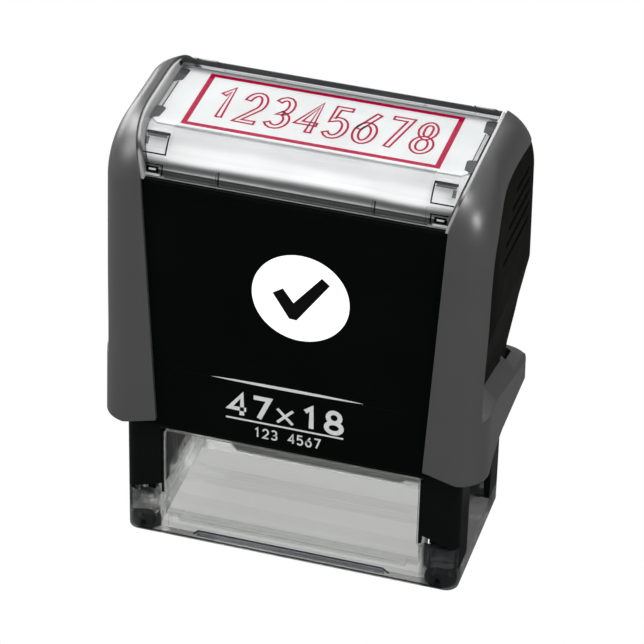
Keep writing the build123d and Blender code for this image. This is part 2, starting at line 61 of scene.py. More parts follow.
# ------------------------------------------------------------------ shader graphs
class Graph:
    """A shader node tree. All methods but feed and add return output sockets."""

    def __init__(self, tree):
        self.tree = tree

    def feed(self, socket, value):
        """link a socket, or set a plain value"""
        if isinstance(value, bpy.types.NodeSocket):
            self.tree.links.new(value, socket)
        else:
            socket.default_value = value

    def add(self, kind, inputs=None, **settings):
        node = self.tree.nodes.new("ShaderNode" + kind)
        for key, value in settings.items():
            setattr(node, key, value)
        for key, value in (inputs or {}).items():
            self.feed(node.inputs[key], value)
        return node

    def coords(self, scale=(1, 1, 1)):
        """object coordinates, optionally squeezed along an axis to streak a noise"""
        place = self.add("TexCoord").outputs["Object"]
        return self.add("Mapping", {"Vector": place, "Scale": scale}).outputs["Vector"]

    def split(self, vector):
        node = self.add("SeparateXYZ", {"Vector": vector})
        return tuple(node.outputs[axis] for axis in "XYZ")

    def noise(self, vector, scale, detail=3.0, rough=0.5):
        return self.add("TexNoise", {"Vector": vector, "Scale": scale, "Detail": detail,
                                     "Roughness": rough}).outputs["Fac"]

    def ramp(self, factor, stops):
        """colour ramp; stops are (position, rgb)"""
        node = self.add("ValToRGB", {"Fac": factor})
        elements = node.color_ramp.elements
        while len(elements) < len(stops):
            elements.new(0.5)
        for element, (position, color) in zip(elements, stops):
            element.position = position
            element.color = (*color, 1)
        return node.outputs["Color"]

    def remap(self, value, span, to=(0.0, 1.0)):
        return self.add("MapRange", {"Value": value, "From Min": span[0], "From Max": span[1],
                                     "To Min": to[0], "To Max": to[1]}).outputs["Result"]

    def calc(self, operation, *values, clamp=False):
        node = self.add("Math", dict(enumerate(values)), operation=operation, use_clamp=clamp)
        return node.outputs["Value"]

    def multiply(self, first, second):
        return self.calc("MULTIPLY", first, second)

    def maximum(self, first, second):
        return self.calc("MAXIMUM", first, second)

    def mix_color(self, factor, first, second, blend="MIX"):
        # sockets 6 and 7 are the two colours, output 2 the mixed colour
        return self.add("Mix", {"Factor": factor, 6: first, 7: second}, data_type="RGBA",
                        blend_type=blend).outputs[2]

    def mix_shader(self, factor, first, second):
        return self.add("MixShader", {"Fac": factor, 1: first, 2: second}).outputs[0]

    def bump(self, height, strength, distance):
        return self.add("Bump", {"Height": height, "Strength": strength,
                                 "Distance": distance}).outputs["Normal"]

    def rounded_normal(self, radius):
        return self.add("Bevel", {"Radius": radius}, samples=4).outputs["Normal"]

    def principled(self, inputs):
        return self.add("BsdfPrincipled", inputs).outputs[0]

    def transparent(self, color):
        return self.add("BsdfTransparent", {"Color": color}).outputs[0]

    def finish(self, surface):
        self.add("OutputMaterial", {"Surface": surface})

    def find(self, node_type, socket):
        """input socket of the first node of a type"""
        return next(n for n in self.tree.nodes if n.type == node_type).inputs[socket]


def new_material(name):
    material = bpy.data.materials.new(name)
    material.use_nodes = True
    material.node_tree.nodes.clear()
    return material, Graph(material.node_tree)


def grey(value):
    return (value, value, value)


# ------------------------------------------------------------------ material kinds
def moulded(name, base, tone_spread, rough, rough_spread, grain, bump, specular=0.5,
            bump_distance=0.00005, edge_wear_and_highlight_color=None, edge_wear_and_highlight_amount=0.5, edge_round=0.0):
    """moulded plastic: fine grain, slow tone drift, faint handling marks, lighter edges that are
    partly rubbed wear and partly a painted edge highlight
    """
    material, graph = new_material(name)
    place = graph.coords()
    darker = tuple(c * (1 - tone_spread) for c in base)
    lighter = tuple(min(1, c * (1 + tone_spread)) for c in base)
    color = graph.ramp(graph.noise(place, scale=60, detail=2), [(0.3, darker), (0.7, lighter)])
    if edge_wear_and_highlight_color is not None:
        # edges, lighter as rubbed wear and painted highlight, show where the bevelled normal
        # leaves the true one
        true_normal = graph.add("NewGeometry").outputs["Normal"]
        agreement = graph.add("VectorMath", {0: graph.rounded_normal(0.0004), 1: true_normal},
                              operation="DOT_PRODUCT").outputs["Value"]
        edge = graph.remap(agreement, span=(0.98, 0.75))
        patchy = graph.multiply(edge, graph.noise(place, scale=900, detail=4, rough=0.7))
        color = graph.mix_color(graph.multiply(patchy, edge_wear_and_highlight_amount), color, (*edge_wear_and_highlight_color, 1))
    smudge = graph.noise(place, scale=140, detail=5, rough=0.6)
    normal = graph.bump(graph.noise(place, scale=grain, detail=2, rough=0.6), bump,
                        bump_distance)
    if edge_round:
        graph.feed(normal.node.inputs["Normal"], graph.rounded_normal(edge_round))
    graph.finish(graph.principled({
        "Base Color": color,
        "Roughness": graph.remap(smudge, span=(0.3, 0.7),
                                 to=(rough - rough_spread, rough + rough_spread)),
        "Specular IOR Level": specular,
        "Normal": normal}))
    return material


def metal(name, base, rough, stretch):
    """drawn or turned metal with its streaks along the low-scale axes"""
    material, graph = new_material(name)
    streaks = graph.noise(graph.coords(stretch), scale=700, detail=3, rough=0.6)
    graph.finish(graph.principled({
        "Metallic": 1.0,
        "Base Color": graph.ramp(streaks, [(0.3, tuple(c * 0.86 for c in base)), (0.7, base)]),
        "Roughness": graph.remap(streaks, span=(0.3, 0.7), to=(rough * 0.7, rough * 1.3)),
        "Normal": graph.bump(streaks, strength=0.08, distance=0.00003)}))
    return material


def thin_clear(name, tint, edge, gloss, rough=0.06):
    """thin clear moulding seen nearly undistorted: darker where it turns away, faint gloss"""
    material, graph = new_material(name)
    place = graph.coords()
    facing = graph.add("LayerWeight", {"Blend": 0.35}).outputs["Facing"]
    color = graph.mix_color(facing, (*tint, 1), (*edge, 1))
    drift = graph.remap(graph.noise(place, scale=120), span=(0.3, 0.7), to=(0.97, 1.0))
    color = graph.mix_color(1.0, color, drift, blend="MULTIPLY")
    smudge = graph.noise(place, scale=200, detail=4)
    ripple = graph.noise(place, scale=350, detail=2)
    glossy = graph.add("BsdfGlossy", {
        "Roughness": graph.remap(smudge, span=(0.3, 0.7), to=(rough * 0.7, rough * 1.3)),
        "Normal": graph.bump(ripple, strength=0.15, distance=0.0001)}).outputs[0]
    fresnel = graph.add("Fresnel", {"IOR": 1.3}).outputs["Fac"]
    graph.finish(graph.mix_shader(graph.multiply(fresnel, gloss * 10),
                                  graph.transparent(color), glossy))
    return material


def fibrous(name, dark, light, mottle, fibre, bump, bump_distance, surface):
    """felt or paper; mottle and fibre are noise settings, surface holds shader inputs"""
    material, graph = new_material(name)
    place = graph.coords()
    graph.finish(graph.principled({
        "Base Color": graph.ramp(graph.noise(place, **mottle), [(0.3, dark), (0.7, light)]),
        "Normal": graph.bump(graph.noise(place, **fibre), bump, bump_distance),
        **surface}))
    return material


def ink(name, color, rough=0.5):
    material, graph = new_material(name)
    speckle = graph.noise(graph.coords(), scale=1400, detail=4, rough=0.7)
    graph.finish(graph.principled({
        "Base Color": graph.ramp(speckle, [(0.3, tuple(c * 0.85 for c in color)), (0.7, color)]),
        "Roughness": graph.remap(speckle, span=(0.3, 0.7), to=(rough - 0.08, rough + 0.08)),
        "Specular IOR Level": 0.0}))
    return material


# ------------------------------------------------------------------ single materials
def clear_base_material():
    """clear plastic that refracts for the camera but lets light through to what is inside"""
    tint = (0.90, 0.905, 0.895)
    material, graph = new_material("clear_base_plastic")
    place = graph.coords()
    smudge = graph.noise(place, scale=90, detail=5, rough=0.6)
    drift = graph.noise(place, scale=45, detail=2)
    ripple = graph.noise(place, scale=160, detail=2)
    refracting = graph.principled({
        "Transmission Weight": 1.0,
        "IOR": 1.42,
        "Roughness": graph.remap(smudge, span=(0.35, 0.75), to=(0.01, 0.06)),
        "Base Color": graph.ramp(drift, [(0.3, tint),
                                         (0.7, tuple(min(1, c * 1.03) for c in tint))]),
        "Normal": graph.bump(ripple, strength=0.04, distance=0.0001)})
    thinned = graph.mix_shader(0.30, refracting, graph.transparent((*tint, 1)))
    rays = graph.add("LightPath").outputs
    passing = graph.maximum(rays["Is Shadow Ray"], rays["Is Diffuse Ray"])
    clear = graph.mix_shader(passing, thinned, graph.transparent((0.93, 0.94, 0.94, 1)))
    # painted shade on the ends of the clear base and on its top band
    graph.finish(paint_shade_on_ends(graph, clear))
    return material


def paint_shade_on_ends(graph, clear):
    """painted shade: darken the ends, where wall stands behind wall; the window between stays
    open
    """
    x, y, z = graph.split(graph.coords())
    streaks = graph.noise(graph.coords((1, 1, 0.12)), scale=420, rough=0.7)
    ends = graph.remap(graph.calc("ABSOLUTE", x), span=(0.0236, 0.0244))
    # where the painted shade darkens the ends: left front edge, upper front half, whole right
    # half
    left = graph.remap(x, span=(-0.0262, -0.0254), to=(1.0, 0.0))
    front = graph.remap(y, span=(-0.0118, -0.0112), to=(1.0, 0.12))
    upper = graph.remap(z, span=(0.0104, 0.0116), to=(0.0, 0.97))
    front_half = graph.remap(y, span=(-0.0005, 0.002), to=(1.0, 0.0))
    right = graph.remap(x, span=(0.0, 0.001))
    upper_front = graph.multiply(upper, front_half)
    zone = graph.maximum(graph.multiply(left, front), upper_front)
    zone = graph.maximum(zone, right)
    # the painted shade streaks have a higher floor on the right
    streak_floor = graph.remap(graph.remap(x, span=(0.0, 0.001)), span=(0.0, 1.0),
                               to=(0.55, 0.84))
    depth = graph.maximum(graph.remap(streaks, span=(0.38, 0.62), to=(0.35, 0.9)), streak_floor)
    shade_share = graph.multiply(graph.multiply(ends, depth), zone)
    shade_share = graph.maximum(shade_share, graph.multiply(upper_front, ends))
    fade = graph.remap(z, span=(0.0004, 0.0075), to=(0.42, 1.0))
    dark = graph.principled({
        "Base Color": graph.ramp(streaks, [(0.35, (0.003, 0.0035, 0.004)),
                                           (0.7, (0.026, 0.028, 0.030))]),
        "Roughness": 0.22,
        "Specular IOR Level": 0.35})
    shaded = graph.mix_shader(graph.multiply(shade_share, fade), clear, dark)
    # painted shade: dull grey on top, inside the front and rear walls
    top = graph.remap(z, span=(0.0207, 0.0209))
    inside = graph.remap(graph.calc("ABSOLUTE", y), span=(0.0139, 0.01405), to=(1.0, 0.0))
    top_shade = graph.principled({"Base Color": (0.07, 0.069, 0.064, 1), "Roughness": 0.4})
    top_share = graph.multiply(graph.multiply(top, inside), 0.8)
    return graph.mix_shader(top_share, shaded, top_shade)


def add_rear_shade_band(material):
    """painted shade: dark streaky band along the rear shoulder of the clear lid, behind the card
    """
    graph = Graph(material.node_tree)
    surface = graph.find("OUTPUT_MATERIAL", "Surface")
    y, z = graph.split(graph.coords())[1:]
    streaks = graph.noise(graph.coords((0.12, 1, 1)), scale=700, rough=0.7)
    band = graph.remap(y, span=(0.0084, 0.0087))
    for limit in (graph.remap(y, span=(0.0109, 0.0117), to=(1.0, 0.0)),
                  graph.remap(z, span=(0.0826, 0.0827)),
                  graph.remap(streaks, span=(0.35, 0.65), to=(0.95, 1.0))):
        band = graph.multiply(band, limit)
    dark = graph.principled({
        "Base Color": graph.ramp(streaks, [(0.35, (0.003, 0.0035, 0.004)),
                                           (0.7, (0.012, 0.013, 0.014))]),
        "Roughness": 0.3,
        "Specular IOR Level": 0.04})
    graph.feed(surface, graph.mix_shader(band, surface.links[0].from_socket, dark))


# painted light and shade on the deck from |y| = 13.4 mm to 15.6 mm: (share of the way, grey)
DECK_LIGHT_TONES = ((0.0, 0.34), (0.18, 0.22), (0.42, 0.066), (0.66, 0.050), (0.78, 0.15),
              (0.88, 0.24), (1.0, 0.24))


def paint_deck_light(material):
    """painted light and shade: grey bands on the deck on top of the shell grey, under the lid
    edge
    """
    graph = Graph(material.node_tree)
    base = graph.find("BSDF_PRINCIPLED", "Base Color")
    y, z = graph.split(graph.coords())[1:]
    across = graph.remap(graph.calc("ABSOLUTE", y), span=(0.0134, 0.0156))
    painted_light = graph.ramp(across, [(share, grey(tone)) for share, tone in DECK_LIGHT_TONES])
    deck = graph.remap(z, span=(0.07544, 0.07548))
    graph.feed(base, graph.mix_color(deck, base.links[0].from_socket, painted_light))


# painted light and shade on the holder from z = 75.5 mm to 82.2 mm: (share of the height, grey)
HOLDER_LIGHT_TONES = (
    (0.0000, 0.120), (0.1493, 0.420), (0.2015, 0.150), (0.2537, 0.085), (0.2985, 0.095),
    (0.3478, 0.210), (0.3955, 0.480), (0.4478, 0.680), (0.5224, 0.680), (0.5672, 0.610),
    (0.6418, 0.600), (0.7164, 0.540), (0.7761, 0.460), (0.8358, 0.420), (0.8881, 0.430),
    (0.9403, 0.400), (1.0000, 0.400))


def holder_material():
    """frosted seat under the clear cover: its tone follows height as painted light and shade,
    and the rear face is darkened as painted shade
    """
    material, graph = new_material("holder_frosted_painted_light")
    place = graph.coords()
    y, z = graph.split(place)[1:]
    waver = graph.remap(graph.noise(graph.coords((0.2, 1, 1)), scale=260), span=(0.3, 0.7),
                        to=(-0.0002, 0.0002))
    height = graph.remap(graph.calc("ADD", z, waver), span=(0.0755, 0.0822))
    tone = graph.ramp(height, [(share, grey(tone)) for share, tone in HOLDER_LIGHT_TONES])
    # painted shade on the rear face
    rear = graph.remap(y, span=(0.0148, 0.0156), to=(0.0, 0.6))
    smudge = graph.noise(place, scale=500, detail=4)
    grain = graph.noise(place, scale=1600, detail=2)
    graph.finish(graph.principled({
        "Base Color": graph.mix_color(rear, tone, (0.022, 0.025, 0.026, 1)),
        "Roughness": graph.remap(smudge, span=(0.3, 0.7), to=(0.4, 0.55)),
        "Specular IOR Level": 0.2,
        "Normal": graph.bump(grain, strength=0.05, distance=0.00004)}))
    return material


# ------------------------------------------------------------------ materials on the parts
# the lighter edges of shell, frame and side grey are partly rubbed wear, partly a painted edge
# highlight
SHELL_BLACK = moulded("shell_black_moulded", base=(0.0012, 0.0017, 0.0016), tone_spread=0.15,
                      rough=0.34, rough_spread=0.04, specular=0.018, grain=2000, bump=0.05,
                      edge_wear_and_highlight_color=grey(0.012), edge_wear_and_highlight_amount=0.3, edge_round=0.0002)
paint_deck_light(SHELL_BLACK)
FRAME_BLACK = moulded("frame_black_moulded", base=(0.0022, 0.0028, 0.0028), tone_spread=0.2,
                      rough=0.38, rough_spread=0.05, specular=0.05, grain=1900, bump=0.08,
                      edge_wear_and_highlight_color=grey(0.02), edge_wear_and_highlight_amount=0.4, edge_round=0.00025)
SIDE_GREY = moulded("side_grey_moulded", base=(0.0335, 0.0335, 0.034), tone_spread=0.05,
                    rough=0.35, rough_spread=0.02, specular=0.90, grain=2400, bump=0.10,
                    bump_distance=0.00004, edge_wear_and_highlight_color=grey(0.10), edge_wear_and_highlight_amount=0.3,
                    edge_round=0.00025)
GRIP = moulded("grip_soft_touch", base=(0.0040, 0.0045, 0.0034), tone_spread=0.15, rough=0.66,
               rough_spread=0.05, specular=0.04, grain=1500, bump=0.22, bump_distance=0.00006,
               edge_round=0.0002)
PLUG = moulded("plug_black_moulded", base=(0.010, 0.010, 0.011), tone_spread=0.2, rough=0.45,
               rough_spread=0.08, specular=0.25, grain=1400, bump=0.12)
TRAY = moulded("tray_grey_moulded", base=(0.10, 0.102, 0.105), tone_spread=0.06, rough=0.42,
               rough_spread=0.05, grain=1800, bump=0.08)
CARRIER = moulded("carrier_moulded", base=(0.045, 0.046, 0.048), tone_spread=0.06, rough=0.38,
                  rough_spread=0.05, grain=1800, bump=0.08)
BADGE = moulded("badge_white_gloss", base=grey(0.90), tone_spread=0.01, rough=0.22,
                rough_spread=0.04, specular=0.3, grain=900, bump=0.02)
FOAM = moulded("cushion_foam_cells", base=(0.05, 0.05, 0.052), tone_spread=0.3, rough=0.85,
               rough_spread=0.05, specular=0.2, grain=1300, bump=0.5, bump_distance=0.0002)
TEXT_RUBBER = moulded("text_rubber_engraved", base=(0.30, 0.045, 0.04), tone_spread=0.12,
                      rough=0.55, rough_spread=0.06, specular=0.35, grain=1700, bump=0.15)
CLEAR_BASE = clear_base_material()
SPRING_STEEL = metal("spring_wire_steel", base=(0.62, 0.62, 0.63), rough=0.28,
                     stretch=(1, 1, 8))
PIN_STEEL = metal("pin_turned_steel", base=(0.66, 0.66, 0.68), rough=0.24, stretch=(12, 1, 1))
CLEAR_COVER = thin_clear("clear_cover_plastic", tint=(0.985, 0.99, 0.99),
                         edge=(0.78, 0.79, 0.79), gloss=0.010)
add_rear_shade_band(CLEAR_COVER)
HOLDER = holder_material()
FELT = fibrous("ink_felt", dark=(0.30, 0.006, 0.045), light=(0.48, 0.015, 0.085),
               mottle={"scale": 120, "detail": 4, "rough": 0.6},
               fibre={"scale": 2600, "detail": 5, "rough": 0.8},
               bump=0.8, bump_distance=0.0002, surface={"Roughness": 0.7, "Sheen Weight": 0.3})
PAPER = fibrous("card_paper", dark=(0.575, 0.577, 0.577), light=(0.595, 0.597, 0.597),
                mottle={"scale": 300, "detail": 5, "rough": 0.6},
                fibre={"scale": 3000, "detail": 4, "rough": 0.7},
                bump=0.1, bump_distance=0.00004,
                surface={"Roughness": 0.55, "Specular IOR Level": 0.03})
CRIMSON = ink("print_crimson", (0.35, 0.001, 0.040))
# silver print, also used for the painted highlight along the panel crease
SILVER_PRINT_AND_HIGHLIGHT = ink("silver_print_and_painted_highlight", (0.42, 0.43, 0.43))
# black print, also used for the painted shadow beside the card
BLACK_PRINT_AND_SHADOW = ink("black_print_and_painted_shadow", grey(0.004))
# painted highlight along the panel lips
LIP_HIGHLIGHT = ink("lip_painted_highlight", grey(0.010), rough=0.3)

PART_MATERIALS = {
    "base_frame": CLEAR_BASE, "foot_plugs": PLUG, "inner_frame": FRAME_BLACK,
    "pad_tray": TRAY, "ink_pad": FELT, "spring_left": SPRING_STEEL,
    "spring_right": SPRING_STEEL, "housing_shell": SHELL_BLACK, "side_frame_left": SIDE_GREY,
    "side_frame_right": SIDE_GREY, "side_grip_left": GRIP, "side_grip_right": GRIP,
    "card_holder": HOLDER, "badge_disc": BADGE, "index_cover": CLEAR_COVER,
    "index_card": PAPER, "die_carrier": CARRIER, "axle_pins": PIN_STEEL,
    "follower_pins": PIN_STEEL, "cushion": FOAM, "text_plate": TEXT_RUBBER}
for part_name, part_material in PART_MATERIALS.items():
    slots = parts[part_name].data.materials
    slots.clear()
    slots.append(part_material)


# ------------------------------------------------------------------ mesh helpers
def link_object(name, data):
    thing = bpy.data.objects.new(name, data)
    scene.collection.objects.link(thing)
    return thing


def mesh_object(name, vertices, faces, material, smooth=False):
    mesh = bpy.data.meshes.new(name)
    mesh.from_pydata([tuple(v) for v in vertices], [], faces)
    mesh.update()
    if smooth:
        for polygon in mesh.polygons:
            polygon.use_smooth = True
    mesh.materials.append(material)
    return link_object(name, mesh)


def in_metres(points):
    return [(x * MM, y * MM) for x, y in points]


def mitre(points, i, closed, most, least_dot):
    """unit direction to the left of point i, and the stretch that keeps the width"""
    count = len(points)
    x, y = points[i]
    before = points[i - 1] if closed else points[max(0, i - 1)]
    after = points[(i + 1) % count] if closed else points[min(count - 1, i + 1)]
    arriving = Vector((x - before[0], y - before[1]))
    leaving = Vector((after[0] - x, after[1] - y))
    if not closed and i == 0:
        arriving = leaving.copy()
    if not closed and i == count - 1:
        leaving = arriving
    # repeated points have no direction of their own
    if arriving.length < 1e-12:
        arriving = leaving
    if leaving.length < 1e-12:
        leaving = arriving
    arriving.normalize()
    leaving.normalize()
    normal = Vector((-arriving.y, arriving.x))
    middle = normal + Vector((-leaving.y, leaving.x))
    if middle.length < 1e-6:
        middle = normal.copy()
    middle.normalize()
    return middle, min(most, 1.0 / max(least_dot, middle.dot(normal)))


def ribbon(drawing, points, width, closed=False, z=0.0):
    """flat mitred strip along a polyline"""
    left, right = [], []
    for i, (x, y) in enumerate(points):
        side, stretch = mitre(points, i, closed, most=1.8, least_dot=0.3)
        for row, half in ((left, width / 2), (right, -width / 2)):
            row.append(drawing.verts.new((x + side.x * half * stretch,
                                          y + side.y * half * stretch, z)))
    count = len(points)
    for i in range(count if closed else count - 1):
        j = (i + 1) % count
        drawing.faces.new((right[i], right[j], left[j], left[i]))


def offset_line(points, distance):
    moved = []
    for i, (x, y) in enumerate(points):
        side, stretch = mitre(points, i, closed=False, most=1.6, least_dot=0.35)
        moved.append((x + side.x * distance * stretch, y + side.y * distance * stretch))
    return moved


def raise_drawing(drawing, name, material, thick, place=None):
    """thicken a flat drawing; place carries each vertex onto the part"""
    bmesh.ops.recalc_face_normals(drawing, faces=drawing.faces)
    for face in drawing.faces:
        if face.normal.z < 0:
            face.normal_flip()
    raised = bmesh.ops.extrude_face_region(drawing, geom=list(drawing.faces))
    for item in raised["geom"]:
        if isinstance(item, bmesh.types.BMVert):
            item.co.z += thick
    if place:
        for vertex in drawing.verts:
            vertex.co = Vector(place(*vertex.co))
    bmesh.ops.recalc_face_normals(drawing, faces=drawing.faces)
    mesh = bpy.data.meshes.new(name)
    drawing.to_mesh(mesh)
    drawing.free()
    mesh.materials.append(material)
    return link_object(name, mesh)


def on_face(face, depth):
    """drawing x, y become x, z on the front (-1) or rear (1) face"""
    return lambda x, y, height: (x, face * (depth + height), y)


# ------------------------------------------------------------------ glyphs
GLYPH_TALL = 1.5    # digit height in a box one unit wide


def arc(x, y, radius_x, radius_y, start, end, steps=10):
    angles = [math.radians(start + (end - start) * i / steps) for i in range(steps + 1)]
    return [(x + radius_x * math.cos(a), y + radius_y * math.sin(a)) for a in angles]


# centre-line strokes of each glyph
GLYPHS = {
    "1": [[(0.22, 1.18), (0.60, 1.5), (0.60, 0.0)]],
    "2": [arc(0.5, 1.02, 0.46, 0.46, 170, -35) + [(0.04, 0.0), (1.0, 0.0)]],
    "3": [arc(0.46, 1.10, 0.42, 0.40, 150, -90, 9) + arc(0.46, 0.37, 0.50, 0.37, 80, -150)],
    "4": [[(0.78, 0.0), (0.78, 1.5), (0.02, 0.45), (1.04, 0.45)]],
    "5": [[(0.92, 1.5), (0.16, 1.5), (0.10, 0.84)] + arc(0.46, 0.47, 0.50, 0.47, 118, -145, 12)],
    "6": [[(0.80, 1.5)] + arc(0.5, 0.47, 0.46, 0.47, 160, 520, 20)],
    "7": [[(0.02, 1.5), (0.98, 1.5), (0.36, 0.0)]],
    "8": [arc(0.5, 1.12, 0.36, 0.38, -90, 270, 16), arc(0.5, 0.37, 0.46, 0.37, 90, 450, 18)],
    "x": [[(0.0, 0.0), (0.95, 1.0)], [(0.0, 1.0), (0.95, 0.0)]],
}

# strokes lie a few microns off their neighbours, so crossings never share a plane
stroke_lifts = itertools.cycle([i * 0.003 * MM for i in (1, 2, 3, 4, 5, 6, 0)])


def is_loop(points):
    return (Vector(points[0]) - Vector(points[-1])).length < 1e-6


def draw_stroke(drawing, points, width):
    closed = is_loop(points)
    ribbon(drawing, points[:-1] if closed else points, width, closed, next(stroke_lifts))


def draw_text(drawing, text, left, base, width, height, pitch, line):
    for glyph in text:
        if glyph != " ":
            thin = 0.6 if glyph == "x" else 1.0
            for stroke in GLYPHS[glyph]:
                draw_stroke(drawing, [(left + x * width, base + y * height / GLYPH_TALL)
                                      for x, y in stroke], line * thin)
        left += pitch


# ------------------------------------------------------------------ shared text layout
TEXT_HALF_X, TEXT_HALF_Y = 22.5 * MM, 8.5 * MM    # outside of the frame around the text
DIGIT_X, DIGIT_Y = 3.15 * MM, 6.1 * MM            # size of one glyph unit
FIRST_DIGIT, DIGIT_PITCH = -19.0, 5.02            # mm


def text_frame(drawing, bar):
    x, y = TEXT_HALF_X - bar / 2, TEXT_HALF_Y - bar / 2
    ribbon(drawing, [(-x, -y), (x, -y), (x, y), (-x, y)], bar, closed=True)


def text_strokes(direction, base):
    """strokes of the digit row; direction -1 mirrors it"""
    for i, glyph in enumerate("12345678"):
        left = direction * (FIRST_DIGIT + DIGIT_PITCH * i) * MM
        for stroke in GLYPHS[glyph]:
            yield [(left + direction * x * DIGIT_X, base + y * DIGIT_Y) for x, y in stroke]


# ------------------------------------------------------------------ card print
OUTLINE_GAP = 0.50     # mm from a stroke's centre line to either outline
OUTLINE_WIDTH = 0.40 * MM


def grown_loop(points, distance):
    """move loop points outward from their mean"""
    count = len(points)
    centre = Vector((sum(p[0] for p in points) / count, sum(p[1] for p in points) / count))
    spokes = [Vector(p) - centre for p in points]
    return [tuple(centre + spoke * (1 + distance * MM / max(spoke.length, 1e-6)))
            for spoke in spokes]


def card_print():
    """crimson frame and a row of open, double-line digits"""
    drawing = bmesh.new()
    text_frame(drawing, bar=0.95 * MM)
    for points in text_strokes(1, -DIGIT_Y * GLYPH_TALL / 2):
        if is_loop(points):
            for gap in (OUTLINE_GAP, -OUTLINE_GAP):
                ribbon(drawing, grown_loop(points[:-1], gap), OUTLINE_WIDTH, closed=True,
                       z=next(stroke_lifts))
        else:
            one_side = offset_line(points, OUTLINE_GAP * MM)
            other_side = offset_line(points, -OUTLINE_GAP * MM)
            ribbon(drawing, one_side + other_side[::-1], OUTLINE_WIDTH, closed=True,
                   z=next(stroke_lifts))
    marks = raise_drawing(drawing, "card_print", CRIMSON, 0.02 * MM)
    marks.location = (0, 0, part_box("index_card")[1][2])
    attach(marks, "cover")


card_print()

# ------------------------------------------------------------------ housing marks
PANEL_DEPTH = 16.70    # mm from the centre to the front panel
BADGE_RAISE = 0.12     # mm from the panel plane to the tick


def panel_marks():
    drawing = bmesh.new()
    draw_text(drawing, "47x18", left=-10.9 * MM, base=30.5 * MM, width=2.95 * MM,
              height=4.3 * MM, pitch=4.35 * MM, line=0.88 * MM)
    ribbon(drawing, in_metres([(-11.45, 29.62), (9.7, 29.62)]), width=0.34 * MM)
    draw_text(drawing, "123 4567", left=-6.3 * MM, base=26.55 * MM, width=1.00 * MM,
              height=1.9 * MM, pitch=1.55 * MM, line=0.30 * MM)
    marks = raise_drawing(drawing, "panel_marks", SILVER_PRINT_AND_HIGHLIGHT, 0.03 * MM,
                          on_face(-1, PANEL_DEPTH * MM))
    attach(marks, "housing")


def panel_crease_highlight():
    """painted highlight: a light sliver along the crease of the front panel, a slim lens"""
    left, length = -14.2, 27.4         # mm
    middle_z, tilt = 37.72, 0.10       # mm; the ends sit one tilt below and above
    half_height = 0.30                 # mm, at the middle
    steps = 28
    drawing = bmesh.new()
    top, bottom = [], []
    for i in range(steps + 1):
        t = i / steps
        x = (left + length * t) * MM
        half = half_height * math.sin(math.pi * t) ** 0.7 * MM
        z = (middle_z + tilt * (2 * t - 1)) * MM
        top.append(drawing.verts.new((x, z + half, 0)))
        bottom.append(drawing.verts.new((x, z - half, 0)))
    for i in range(steps):
        corners = [bottom[i], bottom[i + 1], top[i + 1], top[i]]
        if i == 0:
            corners.remove(top[i])
        elif i == steps - 1:
            corners.remove(top[i + 1])
        drawing.faces.new(corners)
    # the tips close on their bottom points
    for vertex in list(drawing.verts):
        if not vertex.link_faces:
            drawing.verts.remove(vertex)
    crease = raise_drawing(drawing, "panel_crease_highlight", SILVER_PRINT_AND_HIGHLIGHT, 0.02 * MM,
                           on_face(-1, PANEL_DEPTH * MM))
    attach(crease, "housing")


# lip section: (distance from the centre, z) in mm
LIP_SECTION = ((16.08, 75.30), (16.16, 75.33), (16.22, 75.27), (16.19, 75.20), (16.10, 75.21))
LIP_HALF_LENGTH = 26.35 * MM


def panel_lip(face, face_name):
    """thin lip where a panel turns in under the cover, lighter as a painted edge highlight"""
    vertices = [(x, face * y * MM, z * MM) for x in (-LIP_HALF_LENGTH, LIP_HALF_LENGTH)
                for y, z in LIP_SECTION]
    count = len(LIP_SECTION)
    faces = [(i, (i + 1) % count, count + (i + 1) % count, count + i) for i in range(count)]
    faces.append(tuple(range(count)))
    faces.append(tuple(range(2 * count - 1, count - 1, -1)))
    lip = mesh_object("panel_lip_" + face_name, vertices, faces, LIP_HIGHLIGHT)
    shape = bmesh.new()
    shape.from_mesh(lip.data)
    bmesh.ops.recalc_face_normals(shape, faces=shape.faces)
    shape.to_mesh(lip.data)
    shape.free()
    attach(lip, "housing")


BADGE_CENTRE = (1.55, 57.1)    # x, z in mm
# tick outline: (x, z) in mm from the badge centre
TICK_OUTLINE = ((-4.9, 0.3), (-3.1, 1.5), (-1.2, -1.1), (3.7, 4.9), (5.1, 3.7), (-0.6, -4.5),
                (-1.9, -4.4))
TICK_FACES = ((0, 1, 2, 6), (2, 5, 6), (2, 3, 4, 5))


def badge_tick():
    drawing = bmesh.new()
    corners = [drawing.verts.new(((BADGE_CENTRE[0] + x) * MM, (BADGE_CENTRE[1] + z) * MM, 0))
               for x, z in TICK_OUTLINE]
    for face in TICK_FACES:
        drawing.faces.new([corners[i] for i in face])
    tick = raise_drawing(drawing, "badge_tick", BLACK_PRINT_AND_SHADOW, 0.03 * MM,
                         on_face(-1, (PANEL_DEPTH + BADGE_RAISE) * MM))
    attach(tick, "housing")


panel_marks()
panel_crease_highlight()
for face_sign, face_name in FACES:
    panel_lip(face_sign, face_name)
badge_tick()

# ------------------------------------------------------------------ cover details
# The cover's front and rear edges roll over on a quarter round, the nose.
# Nose marks are drawn in (x mm, degrees up from the vertical face).
NOSE_RADIUS = 7.7                 # mm
NOSE_Y, NOSE_Z = 8.3, 75.8        # mm, axis of the round
NOSE_LIFT = 0.02                  # mm, clearance of the marks
DEGREES_PER_MM = math.degrees(1.0 / NOSE_RADIUS)

SHADOW_LINE = thin_clear("cover_shadow_line", tint=(0.26, 0.265, 0.27), edge=grey(0.16),
                         gloss=0.02)
# painted shade in grey strips on the cover
SHADE_GREY = thin_clear("cover_painted_shade_grey", tint=(0.55, 0.555, 0.56), edge=grey(0.35), gloss=0.02)
